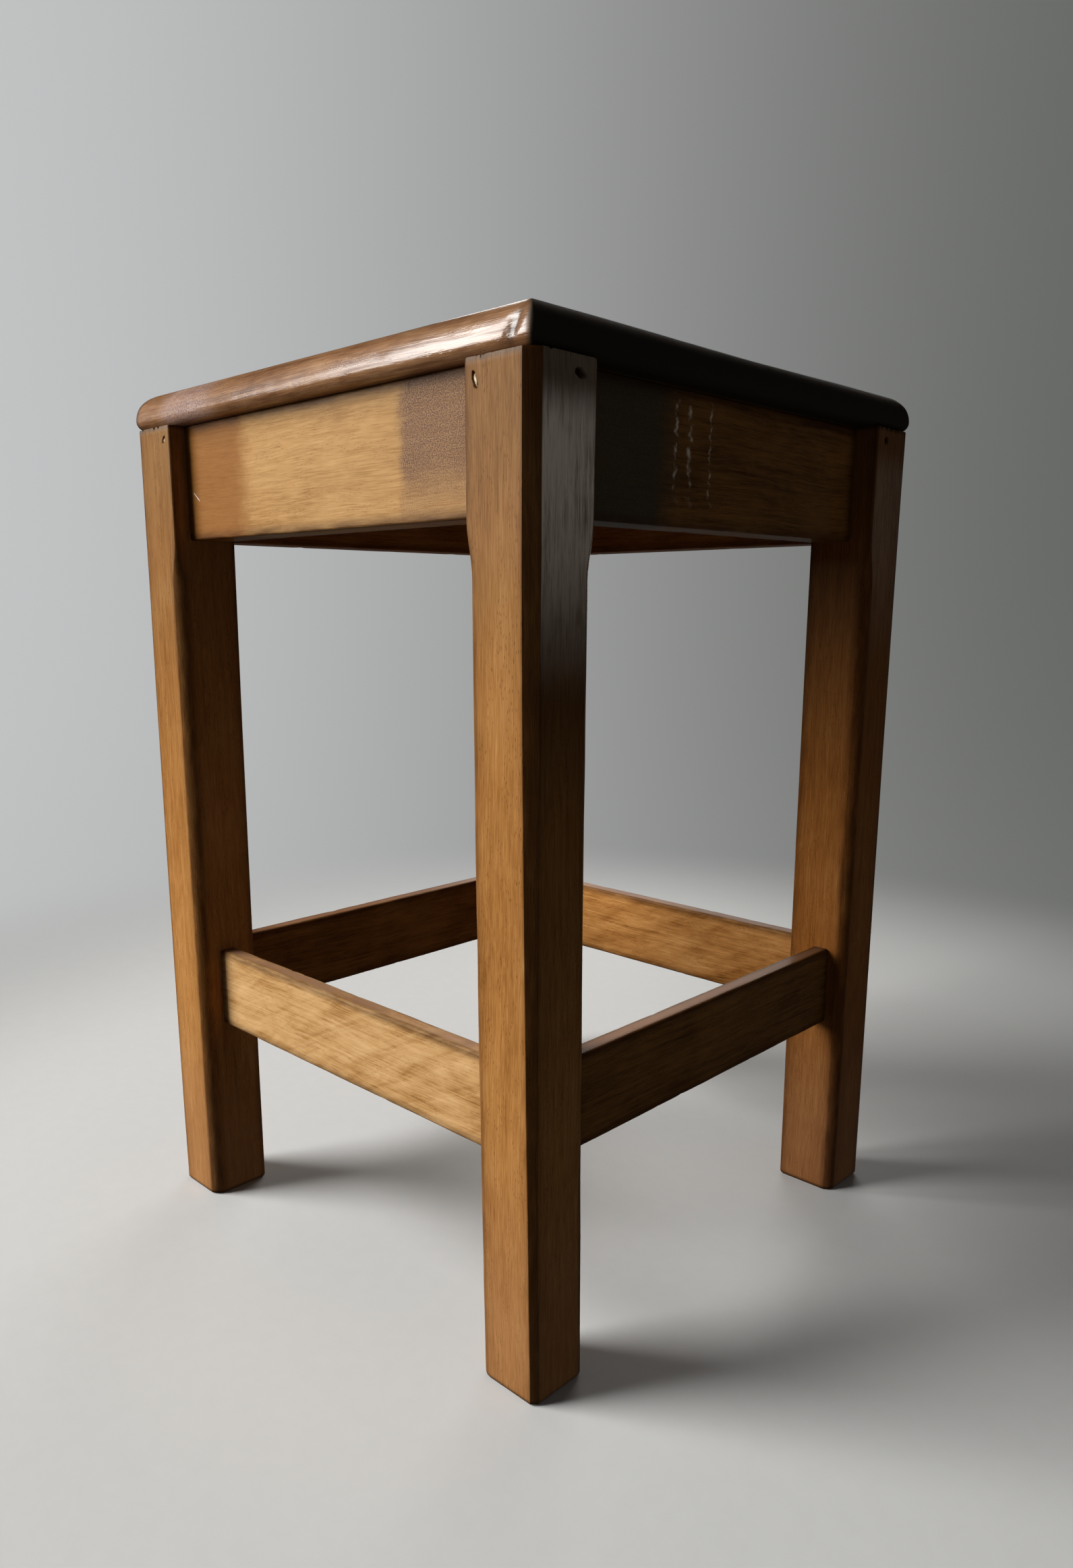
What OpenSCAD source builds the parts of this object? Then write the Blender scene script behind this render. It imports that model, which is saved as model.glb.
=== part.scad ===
// Square four-leg wooden stool.
// Legs, aprons and stretchers meet in mortise and tenon joints, each apron end is nailed
// through its leg, and the seat is screwed down from four glued corner blocks.
// Millimetres, +Z up, origin on the floor under the middle of the seat.

/* [Stool] */
// Width and depth across the outer faces of the legs at the top, and of the seat
stool_w = 300; // [280:1:360]
// Height of the top of the legs, which is the underside of the seat
leg_h = 446; // [400:1:480]
// How far each foot stands out beyond the top of its leg, both ways
foot_splay = 2; // [0:0.5:4]

/* [Seat] */
// Thickness of the seat at its rim
seat_t = 19; // [19:0.5:24]
// Radius of the large round on the upper edge
seat_top_r = 14; // [10:0.5:14]
// Radius of the small round on the lower edge
seat_low_r = 5; // [3:0.5:5]
// Radius of the seat's corners, seen from above
seat_corner_r = 4; // [2:0.5:8]
// Depth of the shallow trough that runs across the top from left to right
scoop_depth = 2.2; // [0.5:0.1:3]
// Width of that trough from front to back
scoop_w = 262; // [200:1:270]

/* [Legs] */
// Width of a leg at its top
leg_top_w = 36.6; // [34:0.2:40]
// Width of a leg at its foot
leg_foot_w = 35.4; // [33:0.2:36]
// Width of the chamfer cut along a leg's outer corner, on each face
leg_chamfer = 4.2; // [2:0.2:6]
// Width of the stopped chamfers on the two corners beside the aprons, on each face
stop_chamfer = 3.4; // [2:0.2:5]
// Length over which a stopped chamfer runs out below the aprons
run_out = 24; // [15:1:35]

/* [Aprons] */
// Height of the apron boards under the seat
apron_h = 58; // [50:1:70]
// Thickness of the apron boards
apron_t = 22; // [18:0.5:22]
// Set-back of the front and back aprons from the outer faces of the legs
apron_back_y = 9; // [7:0.5:10]
// Set-back of the side aprons from the outer faces of the legs
apron_back_x = 13; // [11:0.5:13.5]

/* [Stretchers] */
// Height of the stretchers' lower edge above the floor
stretcher_z = 109.6; // [80:0.2:140]
// Height of the stretcher boards
stretcher_h = 45.8; // [36:0.2:56]
// Thickness of the stretcher boards
stretcher_t = 9.8; // [8:0.2:12]
// Set-back of the front and back stretchers from the outer faces of the legs
stretcher_back_y = 13; // [11:0.5:14]
// Set-back of the side stretchers from the outer faces of the legs
stretcher_back_x = 11; // [10:0.5:12]

/* [Joints] */
// Thickness of an apron tenon
apron_tenon_t = 10; // [8:0.5:10]
// Length of the tenons on the front and back aprons
apron_tenon_y_l = 18; // [14:0.5:20]
// Shoulder above an apron tenon
shoulder_top = 4; // [3:0.5:6]
// Shoulder below an apron tenon
shoulder_low = 6; // [4:0.5:12]
// Thickness of a stretcher tenon
stretcher_tenon_t = 6; // [5:0.5:7]
// Length of a stretcher tenon
stretcher_tenon_l = 14; // [10:0.5:14]
// Shoulder above and below a stretcher tenon
stretcher_shoulder = 4; // [3:0.5:8]

/* [Fasteners] */
// Diameter of the nails through the legs
nail_d = 2; // [1.6:0.1:2.4]
// Length of those nails
nail_l = 26; // [20:1:26]
// Diameter of their heads, and of the holes they are punched down in
nail_head_d = 3.8; // [3:0.1:5]
// Depth of the nail heads below the face of the leg
nail_sunk = 1.6; // [1:0.1:3]
// Side of a corner block along each apron
block_leg = 46; // [38:1:60]
// Height of a corner block
block_h = 20; // [16:1:26]
// Diameter of the seat screws
screw_d = 4; // [3:0.5:5]
// Diameter of their round heads
screw_head_d = 8; // [7:0.5:9]

/* [Hidden] */

half = stool_w / 2;
foot_half = half + foot_splay;
leg_in_top = half - leg_top_w;         // inner face of a leg at its top
leg_in_foot = foot_half - leg_foot_w;  // inner face of a leg at its foot
apron_z = leg_h - apron_h;
apron_y = half - apron_back_y - apron_t / 2;   // middle of the front and back aprons
apron_x = half - apron_back_x - apron_t / 2;   // middle of the side aprons
apron_tenon_x_l = apron_y - apron_tenon_t / 2 - leg_in_top;
leg_mid_out = half + foot_splay * (1 - (stretcher_z + stretcher_h / 2) / leg_h);
stretcher_y = leg_mid_out - stretcher_back_y - stretcher_t / 2;
stretcher_x = leg_mid_out - stretcher_back_x - stretcher_t / 2;
leg_mid_in = leg_in_top + (leg_in_foot - leg_in_top) * (1 - stretcher_z / leg_h);
board_half = half - leg_top_w / 2;     // half the length of a board before its ends are cut
over = 4;                              // how far a cutter runs past what it cuts
s_past = 0.5;                          // how far a chamfer's S runs past the corner
arc_steps = 10;                        // straight steps in a quarter round
scoop_steps = 24;                      // straight steps across the scoop
nail_front_x = 119.5;                  // nails through the front and back faces
nail_front_z = leg_h - 11.5;
nail_side_y = 120.5;                   // nails through the side faces
nail_side_z = leg_h - 6.5;
nail_head_t = 1;
filler_t = 1;
screw_head_t = 2.4;
screw_in_seat = 11;
screw_xy = 101;                        // place of a seat screw, both ways
$fn = 48;

wood = "#9a5f24";
dark_wood = "#4a2c16";
golden_wood = "#b07a35";
steel = "#77716a";
putty = "#d9c7a4";

// Copies of the children of the leg in the +X +Y corner, put in another corner.
module corner(sx, sy) {
    mirror([sx < 0 ? 1 : 0, 0, 0]) mirror([0, sy < 0 ? 1 : 0, 0]) children();
}

// ---- seat ---------------------------------------------------------------

// Right-hand edge of the seat's section, from the underside up to the top.
function seat_edge() = concat(
    [for (i = [0 : arc_steps])
        let (a = -90 + 90 * i / arc_steps)
        [half - seat_low_r + seat_low_r * cos(a), seat_low_r + seat_low_r * sin(a)]],
    [for (i = [seat_t - seat_top_r > seat_low_r ? 0 : 1 : arc_steps])
        let (a = 90 * i / arc_steps)
        [half - seat_top_r + seat_top_r * cos(a), seat_t - seat_top_r + seat_top_r * sin(a)]]
);
// Points of the scoop from right to left: a shallow curve that meets the rim level.
function scoop_line() = [for (i = [0 : scoop_steps])
    let (t = 1 - 2 * i / scoop_steps)
    [t * scoop_w / 2, seat_t - scoop_depth * pow(cos(90 * t), 2)]];
function mirrored(points) = [for (i = [len(points) - 1 : -1 : 0]) [-points[i][0], points[i][1]]];

module seat() {
    color(wood)
    translate([0, 0, leg_h]) difference() {
        intersection() {
            // section from left to right
            rotate([90, 0, 0]) linear_extrude(stool_w + 2 * over, center = true)
                polygon(concat(seat_edge(), mirrored(seat_edge())));
            // section from front to back, with the scoop
            rotate([90, 0, 90]) linear_extrude(stool_w + 2 * over, center = true)
                polygon(concat(seat_edge(), scoop_line(), mirrored(seat_edge())));
            seat_plan();
        }
        for (sx = [-1, 1], sy = [-1, 1]) corner(sx, sy)
            translate([screw_xy, screw_xy, -over]) cylinder(d = screw_d, h = screw_in_seat + over);
    }
}

// The seat's outline with its rounded corners, seen from above.
module seat_plan() {
    inner = half - seat_corner_r;
    translate([0, 0, -over]) linear_extrude(seat_t + 2 * over) union() {
        square([stool_w, 2 * inner], center = true);
        square([2 * inner, stool_w], center = true);
        for (sx = [-1, 1], sy = [-1, 1]) translate([sx * inner, sy * inner]) circle(seat_corner_r);
    }
}

// ---- legs ---------------------------------------------------------------

// Side view of the leg in the +X +Y corner, as [across, height].
function leg_outline() = [
    [leg_in_foot, 0], [foot_half, 0], [half, leg_h], [leg_in_top, leg_h]
];

// A square, slightly tapered leg that leans out by the splay, before any cutting.
module leg_blank() {
    intersection() {
        rotate([90, 0, 0]) linear_extrude(4 * half, center = true) polygon(leg_outline());
        rotate([90, 0, 90]) linear_extrude(4 * half, center = true) polygon(leg_outline());
    }
}

// Cuts the full-length chamfer off the outer corner.
module outer_chamfer() {
    lean = atan(foot_splay * sqrt(2) / leg_h);
    cut = 20;
    translate([half, half, leg_h]) rotate([0, 0, 45]) rotate([0, -lean, 0])
        translate([-leg_chamfer / sqrt(2), -cut, -leg_h - 2 * over])
            cube([cut, 2 * cut, leg_h + 4 * over]);
}

// Side view of one stopped chamfer's cutter, as [outwards, height] from the corner:
// straight up from the floor, then out past the corner along a smooth S.
function stopped_outline(depth, cut) = concat(
    [[-depth, -over], [cut, -over], [cut, apron_z]],
    [for (i = [0 : arc_steps])
        let (t = i / arc_steps)
        [s_past - (depth + s_past) * (1 - cos(180 * t)) / 2, apron_z - run_out * t]]
);

// Both stopped chamfers of the +X +Y leg, on its corners beside the aprons.
module stopped_chamfers() {
    lean_out = atan(foot_splay / leg_h);
    lean_in = atan((leg_in_foot - leg_in_top) / leg_h);
    cut = 12;
    for (flip = [0, 1]) mirror([flip, -flip, 0])
        translate([leg_in_foot, foot_half, 0]) rotate([lean_out, -lean_in, 0])
            rotate([0, 0, 135]) rotate([90, 0, 0]) linear_extrude(2 * cut, center = true)
                polygon(stopped_outline(stop_chamfer / sqrt(2), cut));
}

module leg(sx, sy) {
    color(wood) corner(sx, sy) difference() {
        leg_blank();
        outer_chamfer();
        stopped_chamfers();
        apron_tenon_y();
        apron_tenon_x();
        stretcher_tenon_y();
        stretcher_tenon_x();
        nail_bores();
    }
}

// ---- tenons, all in the +X +Y corner ---------------------------------------

// Tenon of the front or back apron, which runs along X into the leg.
module apron_tenon_y() {
    translate([leg_in_top - over, apron_y - apron_tenon_t / 2, apron_z + shoulder_low])
        cube([apron_tenon_y_l + over, apron_tenon_t, apron_h - shoulder_low - shoulder_top]);
}

// Tenon of a side apron, which runs along Y and butts against the other one's cheek.
module apron_tenon_x() {
    translate([apron_x - apron_tenon_t / 2, leg_in_top - over, apron_z + shoulder_low])
        cube([apron_tenon_t, apron_tenon_x_l + over, apron_h - shoulder_low - shoulder_top]);
}

module stretcher_tenon_y() {
    translate([leg_mid_in - over, stretcher_y - stretcher_tenon_t / 2,
               stretcher_z + stretcher_shoulder])
        cube([stretcher_tenon_l + over, stretcher_tenon_t, stretcher_h - 2 * stretcher_shoulder]);
}

module stretcher_tenon_x() {
    translate([stretcher_x - stretcher_tenon_t / 2, leg_mid_in - over,
               stretcher_z + stretcher_shoulder])
        cube([stretcher_tenon_t, stretcher_tenon_l + over, stretcher_h - 2 * stretcher_shoulder]);
}

// ---- rails ----------------------------------------------------------------

// A board along X between the legs, cut to the lean of their inner faces.
module board_y(mid_y, board_z, board_h, board_t) {
    difference() {
        translate([-board_half, mid_y - board_t / 2, board_z])
            cube([2 * board_half, board_t, board_h]);
        for (sx = [-1, 1]) corner(sx, 1) leg_blank();
    }
}

// The same board along Y.
module board_x(mid_x, board_z, board_h, board_t) {
    difference() {
        translate([mid_x - board_t / 2, -board_half, board_z])
            cube([board_t, 2 * board_half, board_h]);
        for (sy = [-1, 1]) corner(1, sy) leg_blank();
    }
}

// Front or back apron: the board, a tenon at each end, and the nail holes in them.
module apron_along_x(sy, tint) {
    color(tint) corner(1, sy) difference() {
        union() {
            board_y(apron_y, apron_z, apron_h, apron_t);
            for (sx = [-1, 1]) corner(sx, 1) apron_tenon_y();
        }
        for (sx = [-1, 1]) corner(sx, 1) nail_bores();
    }
}

module apron_along_y(sx, tint) {
    color(tint) corner(sx, 1) difference() {
        union() {
            board_x(apron_x, apron_z, apron_h, apron_t);
            for (sy = [-1, 1]) corner(1, sy) apron_tenon_x();
        }
        for (sy = [-1, 1]) corner(1, sy) nail_bores();
    }
}

module stretcher_along_x(sy, tint) {
    color(tint) corner(1, sy) {
        board_y(stretcher_y, stretcher_z, stretcher_h, stretcher_t);
        for (sx = [-1, 1]) corner(sx, 1) stretcher_tenon_y();
    }
}

module stretcher_along_y(sx, tint) {
    color(tint) corner(sx, 1) {
        board_x(stretcher_x, stretcher_z, stretcher_h, stretcher_t);
        for (sy = [-1, 1]) corner(1, sy) stretcher_tenon_x();
    }
}

// ---- corner blocks and fasteners --------------------------------------------

// Block glued under the seat between two aprons, notched round the leg's inner corner.
module corner_block(sx, sy) {
    in_y = apron_y - apron_t / 2;
    in_x = apron_x - apron_t / 2;
    color(golden_wood) corner(sx, sy) difference() {
        translate([0, 0, leg_h - block_h]) linear_extrude(block_h) polygon([
            [in_x - block_leg, in_y], [leg_in_top, in_y], [leg_in_top, leg_in_top],
            [in_x, leg_in_top], [in_x, in_y - block_leg]
        ]);
        translate([screw_xy, screw_xy, leg_h - block_h - over])
            cylinder(d = screw_d, h = block_h + 2 * over);
    }
}

module seat_screws() {
    color(steel) for (sx = [-1, 1], sy = [-1, 1]) corner(sx, sy)
        translate([screw_xy, screw_xy, leg_h - block_h]) {
            cylinder(d = screw_d, h = block_h + screw_in_seat);
            translate([0, 0, -screw_head_t]) cylinder(d = screw_head_d, h = screw_head_t);
        }
}

// A nail driven along -Y from the origin, which is the middle of its head's outer face.
module nail() {
    rotate([90, 0, 0]) {
        cylinder(d = nail_head_d, h = nail_head_t);
        cylinder(d = nail_d, h = nail_l);
    }
}

// The hole that the nail leaves, with the punched mouth above its head.
module nail_bore() {
    rotate([90, 0, 0]) {
        cylinder(d = nail_d, h = nail_l);
        translate([0, 0, -over]) cylinder(d = nail_head_d, h = nail_head_t + over);
    }
}

// Places its children on the nail through the front or back face of the +X +Y leg.
module at_front_nail() {
    translate([nail_front_x, half - nail_sunk, nail_front_z]) children();
}

// Places its children on the nail through the side face of the +X +Y leg.
module at_side_nail() {
    translate([half - nail_sunk, nail_side_y, nail_side_z]) rotate([0, 0, -90]) children();
}

module nail_bores() {
    at_front_nail() nail_bore();
    at_side_nail() nail_bore();
}

module apron_nails() {
    color(steel) for (sx = [-1, 1], sy = [-1, 1]) corner(sx, sy) {
        at_front_nail() nail();
        at_side_nail() nail();
    }
}

// Putty pressed over the nail heads in the front faces of the two front legs.
module nail_fillers() {
    color(putty) for (sx = [-1, 1]) corner(sx, -1) at_front_nail()
        rotate([-90, 0, 0]) cylinder(d = nail_head_d, h = filler_t);
}

seat();
leg(-1, -1);  // leg_front_left
leg(1, -1);  // leg_front_right
leg(-1, 1);  // leg_back_left
leg(1, 1);  // leg_back_right
apron_along_x(-1, golden_wood);  // apron_front
apron_along_x(1, wood);  // apron_back
apron_along_y(-1, wood);  // apron_left
apron_along_y(1, dark_wood);  // apron_right
stretcher_along_x(-1, golden_wood);  // stretcher_front
stretcher_along_x(1, golden_wood);  // stretcher_back
stretcher_along_y(-1, wood);  // stretcher_left
stretcher_along_y(1, dark_wood);  // stretcher_right
corner_block(-1, -1);  // corner_block_front_left
corner_block(1, -1);  // corner_block_front_right
corner_block(-1, 1);  // corner_block_back_left
corner_block(1, 1);  // corner_block_back_right
seat_screws();
apron_nails();
nail_fillers();
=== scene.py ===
"""Looks of a square four-leg wooden stool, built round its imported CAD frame.

Lengths are in metres. Every wooden piece is a dense lofted mesh that stands for its CAD node,
with worn edges and marks of use in its shape and a procedural stained-beech material.
"""
import math
import bpy
import bmesh
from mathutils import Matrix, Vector, noise


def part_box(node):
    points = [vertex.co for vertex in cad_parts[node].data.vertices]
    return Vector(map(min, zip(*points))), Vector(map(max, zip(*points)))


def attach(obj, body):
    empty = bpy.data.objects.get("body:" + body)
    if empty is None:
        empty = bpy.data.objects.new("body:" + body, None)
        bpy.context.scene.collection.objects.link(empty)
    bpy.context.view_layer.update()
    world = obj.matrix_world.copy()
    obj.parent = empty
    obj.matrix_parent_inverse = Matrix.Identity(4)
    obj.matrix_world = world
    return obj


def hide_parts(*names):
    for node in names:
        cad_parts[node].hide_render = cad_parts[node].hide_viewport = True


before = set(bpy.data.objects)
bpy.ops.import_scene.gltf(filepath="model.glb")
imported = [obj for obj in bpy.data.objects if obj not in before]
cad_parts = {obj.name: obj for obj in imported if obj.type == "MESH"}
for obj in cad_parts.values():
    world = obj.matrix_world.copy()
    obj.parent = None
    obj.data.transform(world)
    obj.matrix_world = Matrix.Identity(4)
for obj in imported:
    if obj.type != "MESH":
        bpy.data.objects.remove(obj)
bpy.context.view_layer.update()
MM = 0.001

# ---- sizes read from the frame ------------------------------------------------

SEAT_LOW, SEAT_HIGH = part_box("seat")
LEG_LOW, LEG_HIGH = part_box("leg_back_right")
HALF = SEAT_HIGH.x                  # half the width of the seat, and of the frame at the leg tops
LEG_H = SEAT_LOW.z
SEAT_T = SEAT_HIGH.z - SEAT_LOW.z
FOOT_HALF = LEG_HIGH.x
LEG_IN_TOP = LEG_LOW.x              # inner faces of the legs at their tops
APRON_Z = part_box("apron_front")[0].z

# ---- sizes of details -----------------------------------------------------------

LEG_FOOT_W = 35.4 * MM
FOOT_CLEAR = 0.25 * MM              # keeps uneven feet inside the CAD box
FOOT_WORN = 0.9 * MM                # how far a leg's foot is rubbed in
RUN_OUT = 24 * MM                   # length of a stopped chamfer's run-out below the aprons
STOP_CHAMFER = 4.8 * MM
OUTER_CHAMFER = (2.6 * MM, 5.3 * MM)         # at the foot and at the top
PLAIN_ARRIS = 0.9 * MM
CHIP_DEPTH = 1.5 * MM               # splinters missing from the end grain at a leg's top
HOLE_FRONT = Vector((119.5 * MM, 0, LEG_H - 11.5 * MM))   # in the front and back faces
HOLE_SIDE = Vector((0, 123.5 * MM, LEG_H - 6.5 * MM))     # in the side faces
HOLE_DEPTH = 1.75 * MM
# heights between which a side face gets painted shade, darker upwards, and a painted grey sheen,
# partly bloomed varnish, as far as its leg has them
SIDE_SHADE_LOWER = (60 * MM, 250 * MM)
SIDE_SHADE_UPPER = (LEG_H - 200 * MM, LEG_H - 90 * MM)
SHEEN_RISE = (LEG_H - 135 * MM, LEG_H - 45 * MM)
# between these heights the seat's painted shadow takes the painted sheen away
SEAT_SHADOW_ON_SHEEN = (LEG_H - 26 * MM, LEG_H - 8 * MM)
# height of the painted contact shade at a leg's foot
FOOT_CONTACT_SHADE = 3.5 * MM
APRON_TENON = (10 * MM, 6 * MM, 4 * MM)      # thickness, lower shoulder, upper shoulder
STRETCHER_TENON = (6 * MM, 4 * MM, 4 * MM)
APRON_ARRIS = 0.9 * MM
STRETCHER_ARRIS = 1.3 * MM
SHOULDER_IN = 1.6 * MM              # how far a board's shoulder beds into an uneven leg
SEAT_TOP_R = 14 * MM
SEAT_LOW_R = 5 * MM
SEAT_CORNER_R = 2.2 * MM
SCOOP_DEPTH = 2.2 * MM
SCOOP_HALF = 131 * MM
SCREW_XY = 101 * MM
SHARP_ANGLE = math.radians(40)


# ---- small helpers ---------------------------------------------------------------

def lerp(a, b, t):
    return a + (b - a) * t


def smooth(low, high, x):
    """0 below low, 1 above high and a smooth step between; it runs down where low is above high."""
    t = min(1.0, max(0.0, (x - low) / (high - low)))
    return t * t * (3 - 2 * t)


def rough(p, size, seed=0):
    """Smooth noise from -1 to 1 whose bumps are about `size` metres across."""
    return noise.noise(Vector(p) / size + Vector((seed * 17.3, seed * 7.9, seed * 3.1)))


def new_object(name, verts, faces, marks):
    """A smooth-shaded mesh with sharp edges where faces meet steeply.

    marks holds (edge, dark, bare_or_sheen) for each vertex: how near an arris it is, how darkly
    the wood is stained or painted with shade there, and how far the varnish has bloomed or worn
    or is painted with a grey sheen.
    """
    mesh = bpy.data.meshes.new(name)
    mesh.from_pydata(verts, [], faces)
    layer = mesh.attributes.new("marks", "FLOAT_COLOR", "POINT")
    layer.data.foreach_set("color", [value for mark in marks for value in (*mark, 1.0)])
    bm = bmesh.new()
    bm.from_mesh(mesh)
    bmesh.ops.recalc_face_normals(bm, faces=bm.faces)
    for face in bm.faces:
        face.smooth = True
    for edge in bm.edges:
        edge.smooth = not (len(edge.link_faces) == 2 and edge.calc_face_angle() > SHARP_ANGLE)
    bm.to_mesh(mesh)
    bm.free()
    made = bpy.data.objects.new(name, mesh)
    bpy.context.scene.collection.objects.link(made)
    return made


def bands(around, levels, start=0):
    """Faces between rings of points, of which the first begins at the vertex start."""
    faces = []
    for level in range(levels - 1):
        low = start + level * around
        for i in range(around):
            k = (i + 1) % around
            faces.append((low + i, low + k, low + around + k, low + around + i))
    return faces


def loft(name, rings, marks):
    """A closed skin through rings of points, with a fan over each end."""
    count = len(rings[0])
    verts = [point for ring in rings for point in ring]
    tags = [mark for ring in marks for mark in ring]
    faces = bands(count, len(rings))
    for i in (0, len(rings) - 1):
        centre = sum((Vector(point) for point in rings[i]), Vector()) / count
        verts.append(tuple(centre))
        tags.append((0.0, 0.3, 0.0))
        hub = len(verts) - 1
        faces += [(i * count + j, i * count + (j + 1) % count, hub) for j in range(count)]
    return new_object(name, verts, faces, tags)


CORNER_STEPS = (0.0, 0.07, 0.25, 0.5, 0.75, 0.93, 1.0)   # close together beside the faces


def four_sided(corners, sizes, softness, columns):
    """Points round a four-sided section with eased corners.

    sizes are the widths of the corners' chamfers, softness[i] runs from 0, a flat chamfer, to 1,
    a round, and columns[i] are the places of the points along the side after corner i.
    Gives (point, side, corner, distance to the nearest corner) for each. Either the side or the
    corner is None.
    """
    out = []
    for i in range(4):
        here, before, after = corners[i], corners[i - 1], corners[(i + 1) % 4]
        back, ahead = (before - here).normalized(), (after - here).normalized()
        start, end = here + back * sizes[i], here + ahead * sizes[i]
        for t in CORNER_STEPS:
            flat = start.lerp(end, t)
            bend = start.lerp(here, t).lerp(here.lerp(end, t), t)
            out.append((flat.lerp(bend, softness[i]), None, i, 0.0))
        stop = after - ahead * sizes[(i + 1) % 4]
        for t in columns[i]:
            point = end.lerp(stop, t)
            out.append((point, i, None, min((point - end).length, (point - stop).length)))
    return out


def outward(ring):
    """Unit normals of a closed counter-clockwise ring of 2D points."""
    normals = []
    for i, point in enumerate(ring):
        run = ring[(i + 1) % len(ring)] - ring[i - 1]
        normals.append(Vector((run.y, -run.x)).normalized())
    return normals


def near_edge(distance, reach=1.6 * MM):
    return math.exp(-distance / reach)


# ---- legs -------------------------------------------------------------------------

PLAIN_COLUMNS = [i / 9 for i in range(1, 9)]
# the points of a section lie close together across the nail holes, near the legs' inner corners
NAIL_COLUMNS_X = [0.015 + 0.0145 * i for i in range(24)] + [0.38 + 0.03 * i for i in range(21)]
NAIL_COLUMNS_Y = sorted(1 - t for t in NAIL_COLUMNS_X)
OUTER = 2                                # the number of a leg's outer corner
LEG_SOFTNESS = (0.7, 0.45, 0.06, 0.45)   # only the outer chamfer is cut flat
LEG_LEVELS = sorted(
    [0, 0.25 * MM, 0.8 * MM, 1.6 * MM, 3 * MM]
    + [6 * MM + i * (LEG_H - 31 * MM) / 130 for i in range(131)]
    + [LEG_H - 24.5 * MM + i * 0.5 * MM for i in range(50)]
)


def leg_faces(z):
    """Inner and outer face of an upright, plain leg at height z, measured from the middle."""
    t = 1 - z / LEG_H
    outer = lerp(HALF, FOOT_HALF - FOOT_CLEAR, t)
    inner = lerp(LEG_IN_TOP, FOOT_HALF - LEG_FOOT_W, t)
    return inner, outer


def leg_chamfers(z, seed):
    """Widths of a leg's four chamfers at height z: inner, side, outer, other side."""
    below = smooth(APRON_Z - 1 * MM, APRON_Z - RUN_OUT, z)
    side = [lerp(PLAIN_ARRIS, STOP_CHAMFER, below)
            * (1 + 0.07 * rough((0, k, z), 30 * MM, seed + k)) for k in (0, 1)]
    outer = lerp(*OUTER_CHAMFER, smooth(0, LEG_H, z))
    outer *= 1 + 0.04 * rough((0, 9, z), 50 * MM, seed)
    return PLAIN_ARRIS, side[0], outer, side[1]


def hole_depth(across, up, width, height, slant, lift, seed):
    """How deep a punched hole is, from 0 to 1, at a place measured from its usual middle.

    width and height are half sizes, slant turns the hole and lift raises it.
    """
    up -= lift
    along = up * math.cos(slant) - across * math.sin(slant)
    aside = across * math.cos(slant) + up * math.sin(slant)
    ragged = 1 + 0.25 * rough((across, up, 0), 1.6 * MM, seed)
    far = math.hypot(aside / width, along / height) * ragged
    return smooth(1.18, 0.72, far)


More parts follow.
